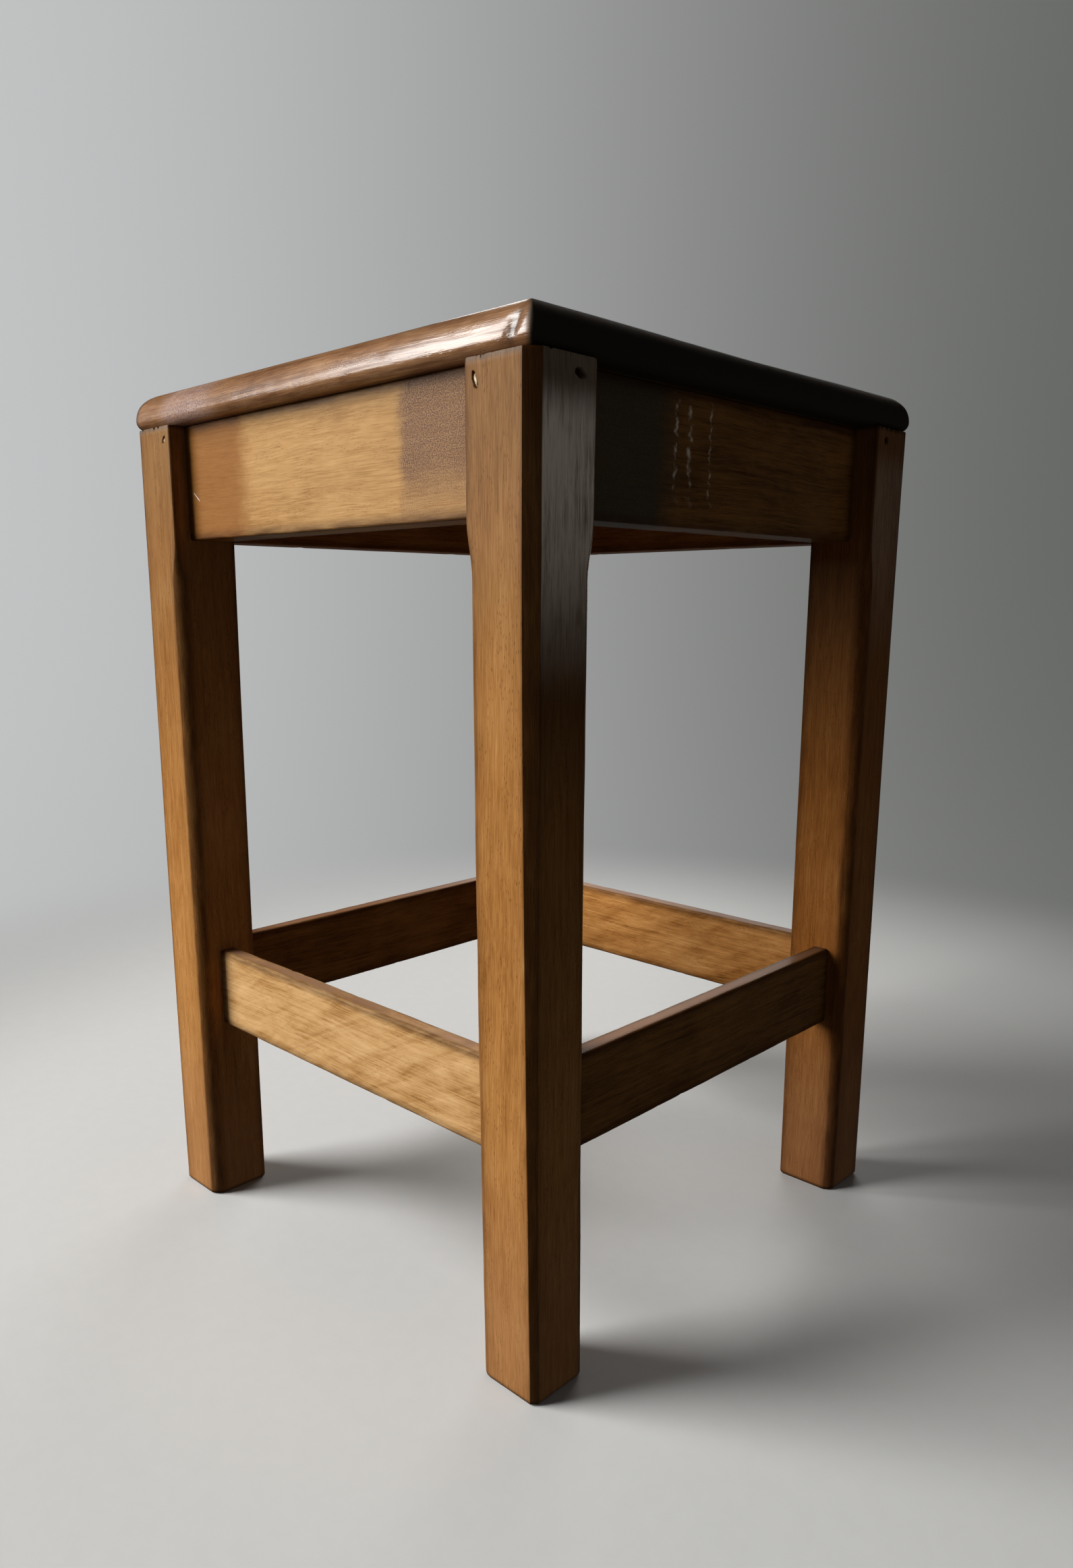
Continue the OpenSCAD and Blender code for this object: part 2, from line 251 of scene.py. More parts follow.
def make_leg(name, sx, sy, seed, foot_shift, bow, holes, side_shade_and_sheen):
    """One leg. foot_shift and bow are small 2D offsets of its foot and of its middle.

    holes gives the shape of the nail hole in its front or back face and of that in its side
    face. side_shade_and_sheen says how much painted shade the side face gets, darker upwards,
    and how much painted grey sheen, partly bloomed varnish, near its top.
    """
    rings, marks = [], []
    for z in LEG_LEVELS:
        inner, outer = leg_faces(z)
        low = 1 - z / LEG_H
        shift = foot_shift * low + bow * 4 * low * (1 - low)
        # worn rim at the foot, and a slightly eased upper end
        rim = FOOT_WORN * smooth(2.2 * MM, 0, z) ** 2
        rim += 0.15 * MM * smooth(LEG_H - 0.8 * MM, LEG_H, z)
        a, b = inner + rim, outer - rim
        corners = [Vector((a, a)), Vector((b, a)), Vector((b, b)), Vector((a, b))]
        section = four_sided(corners, leg_chamfers(z, seed), LEG_SOFTNESS,
                             [PLAIN_COLUMNS, NAIL_COLUMNS_X, NAIL_COLUMNS_Y, PLAIN_COLUMNS])
        normals = outward([point for point, *_ in section])
        ring, tags = [], []
        for (point, side, corner, distance), normal in zip(section, normals):
            place = (point.x, point.y, z)
            push = 0.07 * MM * rough(place, 45 * MM, seed)
            push += 0.025 * MM * rough(place, 7 * MM, seed + 5)
            dark, bare_or_sheen = 0.0, 0.0
            if side == 1:
                deep = hole_depth(point.y - HOLE_SIDE.y, z - HOLE_SIDE.z, *holes[1], seed)
                push -= HOLE_DEPTH * deep
                # painted shade on the side face, darker upwards; above it a painted grey sheen,
                # partly bloomed varnish, which the seat's painted shadow takes away just under the
                # seat
                stained = 0.35 * smooth(*SIDE_SHADE_LOWER, z) + 0.40 * smooth(*SIDE_SHADE_UPPER, z)
                dark = max(deep, side_shade_and_sheen * stained)
                bare_or_sheen = side_shade_and_sheen * smooth(*SHEEN_RISE, z)
                bare_or_sheen *= 1 - smooth(*SEAT_SHADOW_ON_SHEEN, z) * 0.85
                bare_or_sheen *= 1 - deep
            elif side == 2:
                deep = hole_depth(point.x - HOLE_FRONT.x, z - HOLE_FRONT.z, *holes[0], seed + 1)
                push -= HOLE_DEPTH * deep
                dark = deep
                bare_or_sheen = 0.12 * smooth(LEG_H - 3.5 * MM, LEG_H - 0.5 * MM, z)
            # painted shade on the outer chamfer, which the light barely reaches
            elif corner == OUTER:
                dark = 0.55
            point = point + normal * push
            # splintered end grain along the outer faces
            chip = 0.0
            if side in (1, 2):
                ragged = rough((point.x * sx, point.y * sy, 0), 1.1 * MM, seed + 3)
                ragged += 0.5 * rough((point.x, point.y, 0), 5 * MM, seed + 4)
                chip = CHIP_DEPTH * smooth(0.15, 0.75, ragged)
            drop = chip * smooth(LEG_H - 3.2 * MM, LEG_H, z)
            near_top = smooth(LEG_H - 2.6 * MM, LEG_H - 0.4 * MM, z)
            # darker at the top few millimetres, and painted contact shade over the foot's lowest few
            # millimetres
            dark = max(dark, near_top * smooth(0.1 * MM, 0.8 * MM, chip), 0.6 * near_top,
                       0.85 * smooth(FOOT_CONTACT_SHADE, 0, z))
            edge = 1.0
            if side is not None:
                edge = max(near_edge(distance), 0.45 * near_edge(distance, 4.5 * MM))
            ring.append((sx * point.x + shift.x, sy * point.y + shift.y, z - drop))
            tags.append((edge, dark, bare_or_sheen))
        rings.append(ring)
        marks.append(tags)
    return loft(name, rings, marks)


# ---- boards -----------------------------------------------------------------------

def make_board(name, node, along, seed, tenon, arris):
    """An apron or stretcher, from its CAD box: a board on edge with a tenon at each end.

    along is 0 for a board along X and 1 for one along Y, and arris the width of its corners.
    """
    low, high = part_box(node)
    across = 1 - along
    thick_mid, thick = (low[across] + high[across]) / 2, high[across] - low[across]
    z_mid = (low.z + high.z) / 2
    leg_inner = leg_faces(z_mid)[0]
    end = leg_inner + SHOULDER_IN
    tip = high[along]
    steps = 84
    stations = [-tip, -end - 0.01 * MM] + [lerp(-end, end, i / steps) for i in range(steps + 1)]
    stations += [end + 0.01 * MM, tip]
    rings, marks = [], []
    for place in stations:
        is_tenon = abs(place) > end
        side, bottom, top, size = thick / 2, low.z, high.z, arris
        if is_tenon:
            side, bottom, top, size = tenon[0] / 2, low.z + tenon[1], high.z - tenon[2], 0.3 * MM
        corners = [Vector((-side, bottom)), Vector((side, bottom)),
                   Vector((side, top)), Vector((-side, top))]
        sizes = [size * (1 + 0.25 * rough((place, k, 0), 25 * MM, seed + k)) for k in range(4)]
        columns = [[0.2, 0.4, 0.6, 0.8], [i / 12 for i in range(1, 12)]] * 2
        section = four_sided(corners, sizes, (0.7,) * 4, columns)
        normals = outward([point for point, *_ in section])
        ring, tags = [], []
        for (point, face, _, distance), normal in zip(section, normals):
            spot = (place, point.x, point.y)
            push = 0.07 * MM * rough(spot, 40 * MM, seed)
            push += 0.025 * MM * rough(spot, 6 * MM, seed + 2)
            if face is None:
                push -= 0.30 * MM * smooth(0.25, 0.8, rough(spot, 7 * MM, seed + 7))
            point = point + normal * (0 if is_tenon else push)
            coords = [0, 0, min(point.y, high.z)]
            coords[along] = place
            coords[across] = thick_mid + point.x
            ring.append(tuple(coords))
            # painted shade darkens the board where it runs into the leg
            gap = max(0.0, leg_inner - abs(place))
            shade = 0.55 * near_edge(gap, 4 * MM)
            edge = 1.0 if face is None else near_edge(distance, 0.8 * MM)
            tags.append((edge, shade, 1.0 if face == 2 else 0.0))
        rings.append(ring)
        marks.append(tags)
    return loft(name, rings, marks)


# ---- seat -------------------------------------------------------------------------

SEAT_SIDE_POINTS = 116
SEAT_CORNER_POINTS = 5
# the groove beside a small knot in the front edge, its height above the seat's underside
KNOT = Vector((139.5 * MM, -HALF, 8 * MM))
GROOVE_DEPTH = 1.3 * MM
GROOVE_SIZE = (2.2 * MM, 7 * MM)    # half width and half height
UPPER_FROM = 16                     # the first step of the profile on the upper round


def seat_outline(inset):
    """The seat's rounded square at a distance inside its widest line, as 2D points."""
    radius = max(0.7 * MM, SEAT_CORNER_R - 0.6 * inset)
    straight = HALF - inset - radius
    out = []
    for quarter in range(4):
        turn = math.pi / 2 * quarter
        ahead = Vector((-math.sin(turn), math.cos(turn)))
        out_dir = Vector((math.cos(turn), math.sin(turn)))
        base = out_dir * (straight + radius)
        for i in range(SEAT_SIDE_POINTS):
            out.append(base + ahead * lerp(-straight, straight, i / (SEAT_SIDE_POINTS - 1)))
        centre = (out_dir + ahead) * straight
        for i in range(1, SEAT_CORNER_POINTS + 1):
            angle = turn + math.pi / 2 * i / (SEAT_CORNER_POINTS + 1)
            out.append(centre + Vector((math.cos(angle), math.sin(angle))) * radius)
    return out


def scoop(y):
    """How far the seat's top is hollowed at a distance y from the middle."""
    if abs(y) >= SCOOP_HALF:
        return 0.0
    return SCOOP_DEPTH * math.cos(math.pi / 2 * y / SCOOP_HALF) ** 2


def soft_min(a, b, blend):
    h = min(1.0, max(0.0, 0.5 + 0.5 * (b - a) / blend))
    return lerp(b, a, h) - blend * h * (1 - h)


def seat_profile():
    """(inset, height above the underside) from the middle of the underside to the top."""
    out = [(inset * MM, 0.0) for inset in (120, 90, 60, 35, 20, 10, 6)]
    for i in range(9):
        angle = math.radians(-90 + 90 * i / 8)
        out.append((SEAT_LOW_R * (1 - math.cos(angle)), SEAT_LOW_R * (1 + math.sin(angle))))
    rise = SEAT_T - SEAT_TOP_R
    for i in range(1, 15):
        angle = math.radians(90 * i / 14)
        out.append((SEAT_TOP_R * (1 - math.cos(angle)), rise + SEAT_TOP_R * math.sin(angle)))
    out += [(inset * MM, SEAT_T) for inset in (16, 19, 23, 28, 34, 42, 52, 64, 78, 94, 112, 130)]
    return out


def make_seat(name):
    """The seat, with its rubbed front edge and its dark side faces."""
    rings, marks = [], []
    for step, (inset, height) in enumerate(seat_profile()):
        upper = step >= UPPER_FROM
        outline = seat_outline(inset)
        normals = outward(outline)
        ring, tags = [], []
        for point, normal in zip(outline, normals):
            z = height
            if upper:
                level = SEAT_T - scoop(point.y)
                z = soft_min(height, level, 1.0 * MM) if inset < 20 * MM else level
            place = (point.x, point.y, z)
            round_part = 1 - smooth(0, SEAT_TOP_R, inset)
            push = -0.22 * MM * (1 + rough(place, 30 * MM, 3))
            push -= 0.1 * MM * (1 + rough(place, 7 * MM, 4))
            push *= round_part
            over = height - KNOT.z
            aside = point.x - KNOT.x - 0.35 * over
            dent = math.exp(-(aside / GROOVE_SIZE[0]) ** 2) * math.exp(-(over / GROOVE_SIZE[1]) ** 2)
            dent *= smooth(0, -HALF * 0.9, point.y)
            push -= GROOVE_DEPTH * dent
            uneven = rough((point.x, point.y, 0), 45 * MM, 6) - 1
            z += 0.10 * MM * uneven * smooth(0.5, 1, z / SEAT_T)
            moved = point + normal * push
            ring.append((moved.x, moved.y, SEAT_LOW.z + max(0.0, z)))
            side_face = smooth(0.972, 0.995, abs(point.x) / (HALF - inset))
            side_face *= smooth(17.5 * MM, 11 * MM, inset)
            edge = near_edge(abs(inset - SEAT_TOP_R * 0.3), 5 * MM) if upper else 0.3
            tags.append((edge, min(1.0, 0.9 * dent), side_face))
        rings.append(ring)
        marks.append(tags)
    return loft(name, rings, marks)


# ---- small parts --------------------------------------------------------------------

def make_filler(name, sx, width, height, slant, lift):
    """A sliver of dry putty in a nail hole in the front face of the leg on the side sx.

    The other values are like those of hole_depth.
    """
    verts = []
    around, levels = 20, 5
    front = -(HALF - 0.35 * MM)
    for level in range(levels):
        spread = math.sqrt(max(0.0, 1 - (level / levels) ** 2))
        for i in range(around):
            angle = 2 * math.pi * i / around
            ragged = 1 + 0.22 * rough((math.cos(angle), math.sin(angle), level), 0.6, 8)
            aside = width * math.cos(angle) * spread * ragged
            along = height * math.sin(angle) * spread
            across = aside * math.cos(slant) - along * math.sin(slant)
            up = aside * math.sin(slant) + along * math.cos(slant)
            bump = 0.12 * MM * rough((across, up, 0), 0.9 * MM, 2)
            depth = front + 0.9 * MM - level * 0.22 * MM + bump
            verts.append((sx * (HOLE_FRONT.x + across), depth, HOLE_FRONT.z + up + lift))
    faces = bands(around, levels)
    faces.append(tuple(range(around)))
    faces.append(tuple((levels - 1) * around + i for i in range(around)))
    return new_object(name, verts, faces, [(0.0, 0.0, 0.0)] * len(verts))


def make_screws(name):
    """Four slotted round-head screws, seen from under the seat."""
    verts, faces, marks = [], [], []
    around = 40
    base, tip = (corner.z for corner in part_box("seat_screws"))
    head_r, shank_r, head_h = 4 * MM, 2 * MM, 2.4 * MM
    profile = []
    for degrees in (12, 26, 40, 54, 68, 80, 90):
        angle = math.radians(degrees)
        profile.append((head_r * math.sin(angle), base + head_h * (1 - math.cos(angle))))
    profile += [(shank_r, base + head_h), (shank_r, tip - 4 * MM), (0.4 * MM, tip)]
    for sx in (-1, 1):
        for sy in (-1, 1):
            start = len(verts)
            turn = 0.7 * sx + 1.9 * sy
            for step, (radius, height) in enumerate(profile):
                for i in range(around):
                    angle = 2 * math.pi * i / around
                    x, y = radius * math.cos(angle), radius * math.sin(angle)
                    across = abs(x * math.cos(turn) + y * math.sin(turn))
                    cut = 0.9 * MM * smooth(0.75 * MM, 0.45 * MM, across) if step < 6 else 0.0
                    verts.append((sx * SCREW_XY + x, sy * SCREW_XY + y, max(height, base + cut)))
                    marks.append((0.0, cut / MM, 0.0))
            faces += bands(around, len(profile), start)
            faces.append(tuple(start + i for i in range(around)))
            faces.append(tuple(start + (len(profile) - 1) * around + i for i in range(around)))
    return new_object(name, verts, faces, marks)


# ---- materials ----------------------------------------------------------------------

class Shader:
    """Short ways to add nodes to one material."""

    def __init__(self, name):
        self.material = bpy.data.materials.new(name)
        self.material.use_nodes = True
        self.tree = self.material.node_tree
        self.tree.nodes.clear()

    def add(self, kind, inputs=(), **settings):
        made = self.tree.nodes.new("ShaderNode" + kind)
        for key, value in settings.items():
            setattr(made, key, value)
        for key, value in dict(inputs).items():
            self.put(made.inputs[key], value)
        return made

    def put(self, socket, value):
        if isinstance(value, bpy.types.NodeSocket):
            self.tree.links.new(value, socket)
        elif isinstance(value, tuple) and len(value) == 3 and socket.type == "RGBA":
            socket.default_value = (*value, 1.0)
        else:
            socket.default_value = value

    def close(self, shader):
        """Makes a shader node the material's surface, and gives the material."""
        self.add("OutputMaterial", {0: shader.outputs[0]}, is_active_output=True)
        return self.material

    def math(self, operation, a, b=0.0, c=0.0):
        """One Math node. Only MULTIPLY_ADD, a * b + c, makes use of c."""
        return self.add("Math", {0: a, 1: b, 2: c}, operation=operation).outputs[0]

    def vector(self, operation, a, b=(0.0, 0.0, 0.0), output="Vector"):
        return self.add("VectorMath", {0: a, 1: b}, operation=operation).outputs[output]

    def times(self, value, *factors):
        for factor in factors:
            value = self.math("MULTIPLY", value, factor)
        return value

    def plus(self, value, pattern, amount):
        """value + pattern * amount"""
        return self.math("ADD", value, self.times(pattern, amount))

    def jitter(self, value, pattern, width):
        """value, moved either way by a pattern that varies round 0.5."""
        return self.plus(value, self.math("SUBTRACT", pattern, 0.5), width)

    def mix(self, amount, a, b, blend="MIX"):
        made = self.add("Mix", {0: amount, 6: a, 7: b}, data_type="RGBA", blend_type=blend)
        return made.outputs[2]

    def step(self, value, low, high, to_low=0.0, to_high=1.0):
        """A smooth step from low to high; the step runs downwards where low is above high."""
        if low > high:
            low, high, to_low, to_high = high, low, to_high, to_low
        inputs = {0: value, 1: low, 2: high, 3: to_low, 4: to_high}
        return self.add("MapRange", inputs, interpolation_type="SMOOTHSTEP").outputs[0]

    def stretched(self, vector, scales):
        return self.add("Mapping", {"Vector": vector, "Scale": scales}).outputs[0]

    def noise(self, vector, scales, detail=2.0, rough=0.5, warp=0.0, output=0):
        """Noise with a scale for each axis, in bumps per metre."""
        inputs = {"Vector": self.stretched(vector, scales), "Scale": 1.0, "Detail": detail,
                  "Roughness": rough, "Distortion": warp}
        return self.add("TexNoise", inputs).outputs[output]


# (darkest, dark, middle, light) tones of the stained wood
AMBER = ((0.060, 0.017, 0.004), (0.270, 0.108, 0.025),
         (0.420, 0.188, 0.053), (0.580, 0.300, 0.102))
SEAT_TONES = ((0.045, 0.016, 0.006), (0.170, 0.074, 0.030),
              (0.290, 0.140, 0.060), (0.460, 0.265, 0.130))
RUSSET = ((0.050, 0.015, 0.003), (0.195, 0.066, 0.013),
          (0.310, 0.115, 0.025), (0.450, 0.200, 0.058))
PALE_GOLD = ((0.130, 0.048, 0.012), (0.400, 0.205, 0.068),
             (0.560, 0.325, 0.135), (0.690, 0.430, 0.200))
GOLD = ((0.100, 0.036, 0.008), (0.320, 0.158, 0.046),
        (0.455, 0.253, 0.092), (0.590, 0.355, 0.145))
BROWN = ((0.026, 0.009, 0.003), (0.110, 0.044, 0.011),
         (0.205, 0.090, 0.022), (0.300, 0.140, 0.040))
PINE = ((0.150, 0.075, 0.026), (0.330, 0.190, 0.080),
        (0.450, 0.280, 0.135), (0.560, 0.370, 0.200))
AMBER_END = ((0.175, 0.058, 0.010), (0.330, 0.135, 0.032))   # dark and light
FOOT_TONE = (0.460, 0.250, 0.140)
UNDER_SEAT = (0.50, 0.55, 0.65)     # multiplies the legs' colour near the seat
PURPLE = (0.085, 0.040, 0.034)
BROWNED = (0.28, 0.155, 0.085)
BLACKENED = (0.055, 0.047, 0.030)
SEAT_SIDE = (0.020, 0.019, 0.013)
DUST = (0.110, 0.100, 0.085)
RUBBED_TOP = (0.240, 0.120, 0.068)
RUBBED_PALE = (0.560, 0.450, 0.470)
DARK_RIM = (0.045, 0.014, 0.005)
# pale grey: a real scratch, the legs' painted sheen and the painted glints on varnish runs
PALE_GREY = (0.860, 0.770, 0.660)

# (where it begins, where it is full) of local stains and wear, in metres
GOLD_LEFT = (-58 * MM + 0.009, -58 * MM - 0.010)     # ends of the front apron's golden middle
GOLD_RIGHT = (65 * MM - 0.005, 65 * MM + 0.004)
PURPLE_Z = (0.401, 0.425)           # the purple end grows darker upwards
SCRATCH = (-0.105, 0.410)           # middle of a scratch in the front apron, x and z
BLACK_END = (-0.020, -0.045)        # front end of the right apron, y
RUNS = ((-0.045, 0.0016), (-0.035, 0.0022), (-0.019, 0.0011))   # y and half width of each run
RUNS_FOOT = (0.400, 0.425)
RUNS_HEAD = (0.458, 0.445)
SEAT_WORN = (0.155, 0.055)          # distance from the middle of the seat
SEAT_UNDER = (0.117, 0.112)         # unstained wood between the aprons
PATCH = ((-0.128, -0.112), (-0.062, -0.088), (-0.120, -0.138))  # left, right, and y

FLECK_SCALES = (260, 1150, 1150)
HEART = (0.09, 0.06)                # middle of the growth rings, off the grain's axis
RING_RATE = 1500.0                  # radians a metre


class Wood(Shader):
    """Stained beech with its grain along one axis of the stool.

    fleck is how strong the short dark flecks are, figure the pale and dark waves across the
    grain, and calm takes strength from the streaks and blotches.
    """

    def __init__(self, name, grain, seed, tones, fleck=0.5, figure=0.0, calm=1.0):
        super().__init__(name)
        self.tones = tones
        self.where = self.add("TexCoord").outputs["Object"]
        split = self.add("SeparateXYZ", {0: self.where})
        self.x, self.y, self.z = split.outputs
        order = {"x": (0, 1, 2), "y": (1, 0, 2), "z": (2, 0, 1)}[grain]
        ordered = self.add("CombineXYZ", {i: split.outputs[axis] for i, axis in enumerate(order)})
        offset = (seed * 1.37, seed * 0.71, seed * 2.03)
        shifted = self.vector("ADD", ordered.outputs[0], offset)
        # the grain wanders a little across the board
        wander = self.noise(shifted, (7, 16, 16), output="Color")
        centred = self.vector("SUBTRACT", wander, (0.5, 0.5, 0.5))
        wave = self.vector("MULTIPLY", centred, (0.0, 0.009, 0.009))
        self.along = self.vector("ADD", shifted, wave)
        marks = self.add("Attribute", attribute_name="marks", attribute_type="GEOMETRY")
        channels = self.add("SeparateColor", {0: marks.outputs["Color"]}).outputs
        self.edge, self.dark, self.bare_or_sheen = channels[:3]

        self.broad = self.noise(self.along, (9, 38, 38), detail=3.0, rough=0.55)
        self.streaks = self.noise(self.along, (15, 620, 620), detail=3.0, rough=0.6)
        self.fibres = self.noise(self.along, (80, 2100, 2100), detail=2.0, rough=0.55)
        self.blotch = self.noise(shifted, (24, 30, 30), detail=4.0, rough=0.6, warp=0.4)
        sections = self.vector("MULTIPLY", self.along, (0.0, 1.0, 1.0))
        heart = (0.0, HEART[0] + offset[1], HEART[1] + offset[2])
        radius = self.vector("LENGTH", self.vector("SUBTRACT", sections, heart), output="Value")
        phase = self.plus(self.times(radius, RING_RATE), self.broad, 9.0)
        rings = self.math("MULTIPLY_ADD", self.math("SINE", phase), 0.5, 0.5)

        parts = [(self.streaks, 0.50 * calm), (self.fibres, 0.50), (self.broad, 0.35),
                 (self.blotch, 0.50 * calm), (rings, 0.035)]
        if figure:
            slanted = self.add("VectorRotate", {"Vector": shifted, "Axis": (0.0, 1.0, 0.0),
                                                "Angle": 0.45}).outputs[0]
            waves = self.noise(slanted, (11, 60, 85), detail=4.0, rough=0.62, warp=0.8)
            parts.append((waves, figure))
        self.tone = self.weighted(parts)
        ramp = self.add("ValToRGB", {0: self.tone})
        stops = ramp.color_ramp.elements
        stops[0].position, stops[0].color = 0.12, (*tones[0], 1)
        stops[1].position, stops[1].color = 0.76, (*tones[3], 1)
        for place, colour in ((0.34, tones[1]), (0.52, tones[2])):
            stops.new(place).color = (*colour, 1)
        self.colour = ramp.outputs[0]

        # the short dark flecks of beech
        cells = self.add("TexVoronoi", {"Vector": self.stretched(self.along, FLECK_SCALES),
                                        "Scale": 1.0, "Randomness": 1.0})
        spots = self.step(cells.outputs["Distance"], 0.30, 0.12)
        patchy = self.step(self.noise(self.along, (40, 160, 160), detail=1.0), 0.38, 0.62)
        flecks = self.times(spots, patchy, fleck)
        self.colour = self.mix(flecks, self.colour, tones[0])
        self.height = self.weighted([(self.fibres, 0.55), (self.streaks, 0.45)])
        self.height = self.math("SUBTRACT", self.height, self.times(flecks, 0.5))
        self.shine = self.math("MULTIPLY_ADD", self.blotch, 0.24, 0.24)

    def weighted(self, parts):
        """The middle value 0.5, moved by each pattern's distance from 0.5 times its weight."""
        total = 0.5
        for pattern, weight in parts:
            total = self.jitter(total, pattern, weight)
        return total

    def paint(self, amount, colour):
        """Covers the wood with a colour, as far as amount says."""
        self.colour = self.mix(amount, self.colour, colour)

    def age_edges(self, amount):
        """Darker stain and dirt along the arrises, broken up by noise, and darkening where the marks
        say: stain in holes and dents, painted shade on the legs' outer chamfers, at the ends of
        boards and at the feet.
        """
        patches = self.noise(self.along, (60, 300, 300), detail=3.0)
        broken = self.step(patches, 0.2, 0.65, 0.5, 1.0)
        self.paint(self.times(self.edge, broken, amount), DARK_RIM)
        # the dark channel: real stain in holes and dents, painted shade elsewhere
        self.paint(self.dark, tuple(0.35 * v for v in self.tones[0]))
        return self

    def varnished(self, coat, strength=0.4, level=0.02):
        """The finished material, with the grain's relief in the varnish too."""
        relief = self.add("Bump", {"Strength": strength, "Distance": 0.25 * MM,
                                   "Height": self.height}).outputs[0]
        return self.close(self.add("BsdfPrincipled", {
            "Base Color": self.colour, "Roughness": self.shine, "Specular IOR Level": level,
            "Coat Weight": coat, "Coat Roughness": 0.13, "Normal": relief,
            "Coat Normal": relief}))


def leg_wood(name, seed, tones):
    """Leg wood: browner under the seat, paler at the foot, and greyed where the marks say by a
    painted grey sheen, partly bloomed varnish.
    """
    wood = Wood(name, "z", seed, tones, fleck=0.5, calm=0.5)
    high = wood.step(wood.plus(wood.z, wood.blotch, 0.12), 0.28, 0.52, 0.0, 0.80)
    wood.colour = wood.mix(high, wood.colour, UNDER_SEAT, "MULTIPLY")
    foot = wood.step(wood.z, 0.14, 0.02, 0.0, 0.45)
    wood.paint(foot, wood.mix(wood.tone, tones[1], FOOT_TONE))
    wood.age_edges(0.62)
    both = wood.math("ADD", wood.fibres, wood.streaks)
    streaky = wood.step(wood.math("ADD", both, wood.blotch), 0.95, 1.75, 0.28, 1.00)
    # a painted grey sheen, partly bloomed varnish, on the side faces near their tops
    wood.paint(wood.times(wood.bare_or_sheen, streaky), PALE_GREY)
    return wood.varnished(0.02)


def board_wood(name, grain, seed, tones, fleck=0.5, figure=0.0):
    """Apron or stretcher wood, with a rubbed and dusty upper edge."""
    wood = Wood(name, grain, seed, tones, fleck=fleck, figure=figure)
    patchy = wood.step(wood.blotch, 0.30, 0.60, 0.35, 0.85)
    wood.paint(wood.times(wood.bare_or_sheen, patchy), RUBBED_TOP)
    return wood.age_edges(0.70).varnished(0.02)


def front_apron_wood(name):
    """Golden wood with an amber left end, a speckled purplish right end and one scratch."""
    wood = Wood(name, "x", 6.0, GOLD, fleck=0.35, calm=0.65)
    ragged = wood.noise(wood.where, (60, 60, 60), detail=4.0, rough=0.65)
    shifted = wood.jitter(wood.x, ragged, 0.018)
    left, right = wood.step(shifted, *GOLD_LEFT), wood.step(shifted, *GOLD_RIGHT)
    speckle = wood.noise(wood.where, (1500, 1900, 1900), detail=3.0)
    dots = wood.step(speckle, 0.38, 0.62, 0.0, 0.85)
    dark_end = wood.mix(dots, PURPLE, wood.mix(0.60, wood.colour, BROWNED))
    lower = wood.step(wood.plus(wood.z, ragged, 0.02), *PURPLE_Z, 0.35, 1.0)
    wood.paint(wood.times(right, lower, 0.9), dark_end)
    wood.paint(left, wood.mix(0.85, wood.colour, wood.mix(wood.tone, *AMBER_END)))
    # the scratch is short and pale, and slopes down to the right
    aside = wood.math("SUBTRACT", wood.x, SCRATCH[0])
    off_line = wood.plus(wood.math("SUBTRACT", wood.z, SCRATCH[1]), aside, 0.8)
    line = wood.step(wood.math("ABSOLUTE", off_line), 0.00045, 0.00015)
    length = wood.step(wood.math("ABSOLUTE", aside), 0.0030, 0.0022)
    wood.paint(wood.times(line, length), PALE_GREY)
    return wood.age_edges(0.8).varnished(0.015)


def right_apron_wood(name):
    """Dark wood, its tone partly painted shade: almost black at its front end, with dried runs of
    varnish beside that, painted pale as glints.
    """
    # the dark brown tone stands partly for painted shade on this side, which the light misses
    wood = Wood(name, "y", 7.0, BROWN, fleck=0.4)
    near = wood.step(wood.plus(wood.y, wood.blotch, 0.03), *BLACK_END)
    dusty = wood.step(wood.noise(wood.where, (900, 900, 900), detail=3.0), 0.45, 0.75)
    black = wood.mix(wood.times(dusty, 0.35), BLACKENED, DUST)
    wood.paint(wood.times(near, 0.9), black)
    # the runs hang down the board, each a broken wavy line, painted pale grey as glints of a
    # highlight
    wobble = wood.noise(wood.where, (0, 0, 130), detail=2.0)
    across = wood.jitter(wood.y, wobble, 0.014)
    runs = None
    for y, wide in RUNS:
        off = wood.math("ABSOLUTE", wood.math("SUBTRACT", across, y))
        line = wood.step(off, wide, wide * 0.2)
        runs = line if runs is None else wood.math("MAXIMUM", runs, line)
    broken = wood.step(wood.noise(wood.where, (0, 260, 230), detail=4.0), 0.42, 0.66)
    level = wood.plus(wood.z, wobble, 0.02)
    hung = wood.times(wood.step(level, *RUNS_FOOT), wood.step(level, *RUNS_HEAD))
    runs = wood.times(runs, hung, wood.times(broken, 0.75))
    # painted glints: the runs are coloured pale grey
    wood.paint(runs, PALE_GREY)
    wood.height = wood.plus(wood.height, runs, 1.5)
    return wood.age_edges(0.6).varnished(0.08)


